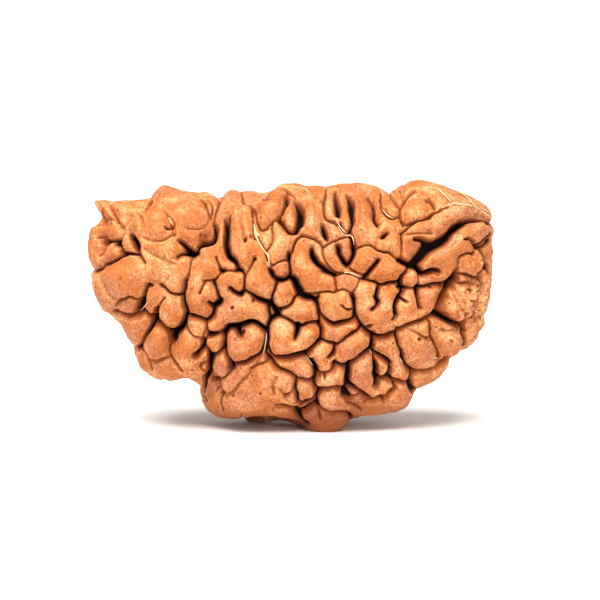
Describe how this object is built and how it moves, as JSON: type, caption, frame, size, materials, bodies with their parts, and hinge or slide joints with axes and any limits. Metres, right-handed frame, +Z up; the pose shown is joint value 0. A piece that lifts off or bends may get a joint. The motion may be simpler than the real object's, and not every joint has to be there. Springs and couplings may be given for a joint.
{
  "type": "rudraksha bead",
  "caption": "Undrilled half-moon rudraksha nut stone with deep knobby lobes, standing on its rounded belly.",
  "frame": {"origin": "on the surface that the bead rests on, under the middle of its bounding box", "axes": "+Z up from the belly to the flat crest, +X along the length to the right of the front face, +Y away from the front face"},
  "size_m": [0.0324, 0.0138, 0.0199],
  "materials": {
    "nut_stone": "dry dull orange-brown nut stone, near-black in the clefts"
  },
  "bodies": {
    "root": {"bead": "nut_stone"}
  },
  "joints": []
}
